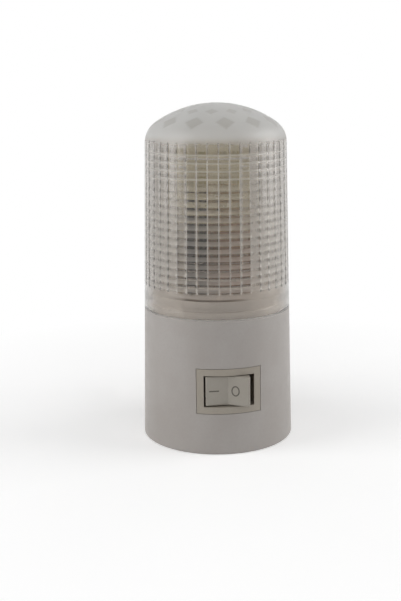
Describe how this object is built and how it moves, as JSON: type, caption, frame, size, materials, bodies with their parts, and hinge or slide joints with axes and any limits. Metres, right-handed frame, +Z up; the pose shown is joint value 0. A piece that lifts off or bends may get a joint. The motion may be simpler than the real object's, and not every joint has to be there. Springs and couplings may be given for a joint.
{
  "type": "plug in night light",
  "caption": "Cylindrical plug-in night light with a clear prismatic lens cover and dome, a rocker switch on the base's front and a two-pin plug on its flat back.",
  "frame": {"origin": "centre of the plug's face, midway between the two pins, where it meets the wall socket", "axes": "+Z up along the lamp's axis, +Y out of the back along the plug pins towards the wall, so the front with the switch faces -Y"},
  "size_m": [0.036, 0.058, 0.0791],
  "materials": {
    "shell_plastic": "fine satin moulded, warm white",
    "cover_plastic": "fine satin moulded, warm white",
    "deck_plastic": "satin moulded, white",
    "lens_plastic": "clear moulded, prismatic",
    "frame_plastic": "satin moulded, slightly yellowed white",
    "rocker_plastic": "satin moulded, slightly yellowed white",
    "mark_paint": "grey filled mark",
    "pin_metal": "nickel-plated, bright",
    "sleeve_plastic": "smooth moulded",
    "retainer_steel": "zinc-plated",
    "screw_steel": "zinc-plated",
    "contact_brass": "stamped strip",
    "contact_silver": "silvered",
    "spring_steel": "drawn wire",
    "plunger_plastic": "smooth moulded",
    "board_laminate": "pressed paper laminate with a lacquered face",
    "led_plastic": "white package",
    "led_phosphor": "yellow resin",
    "film_resin": "dipped resin",
    "elco_sleeve": "shrunk sleeve",
    "resistor_lacquer": "lacquered",
    "bridge_epoxy": "moulded epoxy",
    "lead_tin": "tinned wire",
    "live_sleeve": "soft PVC",
    "switched_sleeve": "soft PVC",
    "neutral_sleeve": "soft PVC"
  },
  "bodies": {
    "lamp": {"front_shell": "shell_plastic", "rear_cover": "cover_plastic", "cover_screws": "screw_steel", "plug_pin_live": "pin_metal", "plug_pin_neutral": "pin_metal", "pin_sleeves": "sleeve_plastic", "pin_retainers": "retainer_steel", "pin_terminals": "contact_brass", "lamp_deck": "deck_plastic", "lens_cover": "lens_plastic", "circuit_board": "board_laminate", "led_bodies": "led_plastic", "led_windows": "led_phosphor", "film_capacitor": "film_resin", "electrolytic_capacitor": "elco_sleeve", "series_resistor": "resistor_lacquer", "bleed_resistor": "resistor_lacquer", "component_leads": "lead_tin", "bridge_rectifier": "bridge_epoxy", "switch_housing": "frame_plastic", "switch_base": "frame_plastic", "centre_terminal": "contact_brass", "end_terminal": "contact_brass", "fixed_contact": "contact_silver", "live_lead": "live_sleeve", "switched_lead": "switched_sleeve", "neutral_lead": "neutral_sleeve"},
    "switch_rocker": {"rocker": "rocker_plastic", "rocker_marks": "mark_paint", "plunger": "plunger_plastic", "plunger_spring": "spring_steel"},
    "switch_lever": {"contact_lever": "contact_brass", "moving_contact": "contact_silver"}
  },
  "joints": [
    {"name": "rocker_press", "type": "hinge", "parent": "lamp", "child": "switch_rocker", "pos_m": [0, -0.03567, -0.00067], "axis": [0, 0, 1], "range_deg": [0, 26]},
    {"name": "lever_rock", "type": "hinge", "parent": "lamp", "child": "switch_lever", "pos_m": [0, -0.03185, -0.00067], "axis": [0, 0, 1], "range_deg": [-16, 0]}
  ],
  "couplings": [
    {"joint": "lever_rock", "follows": "rocker_press", "ratio": -0.615}
  ]
}
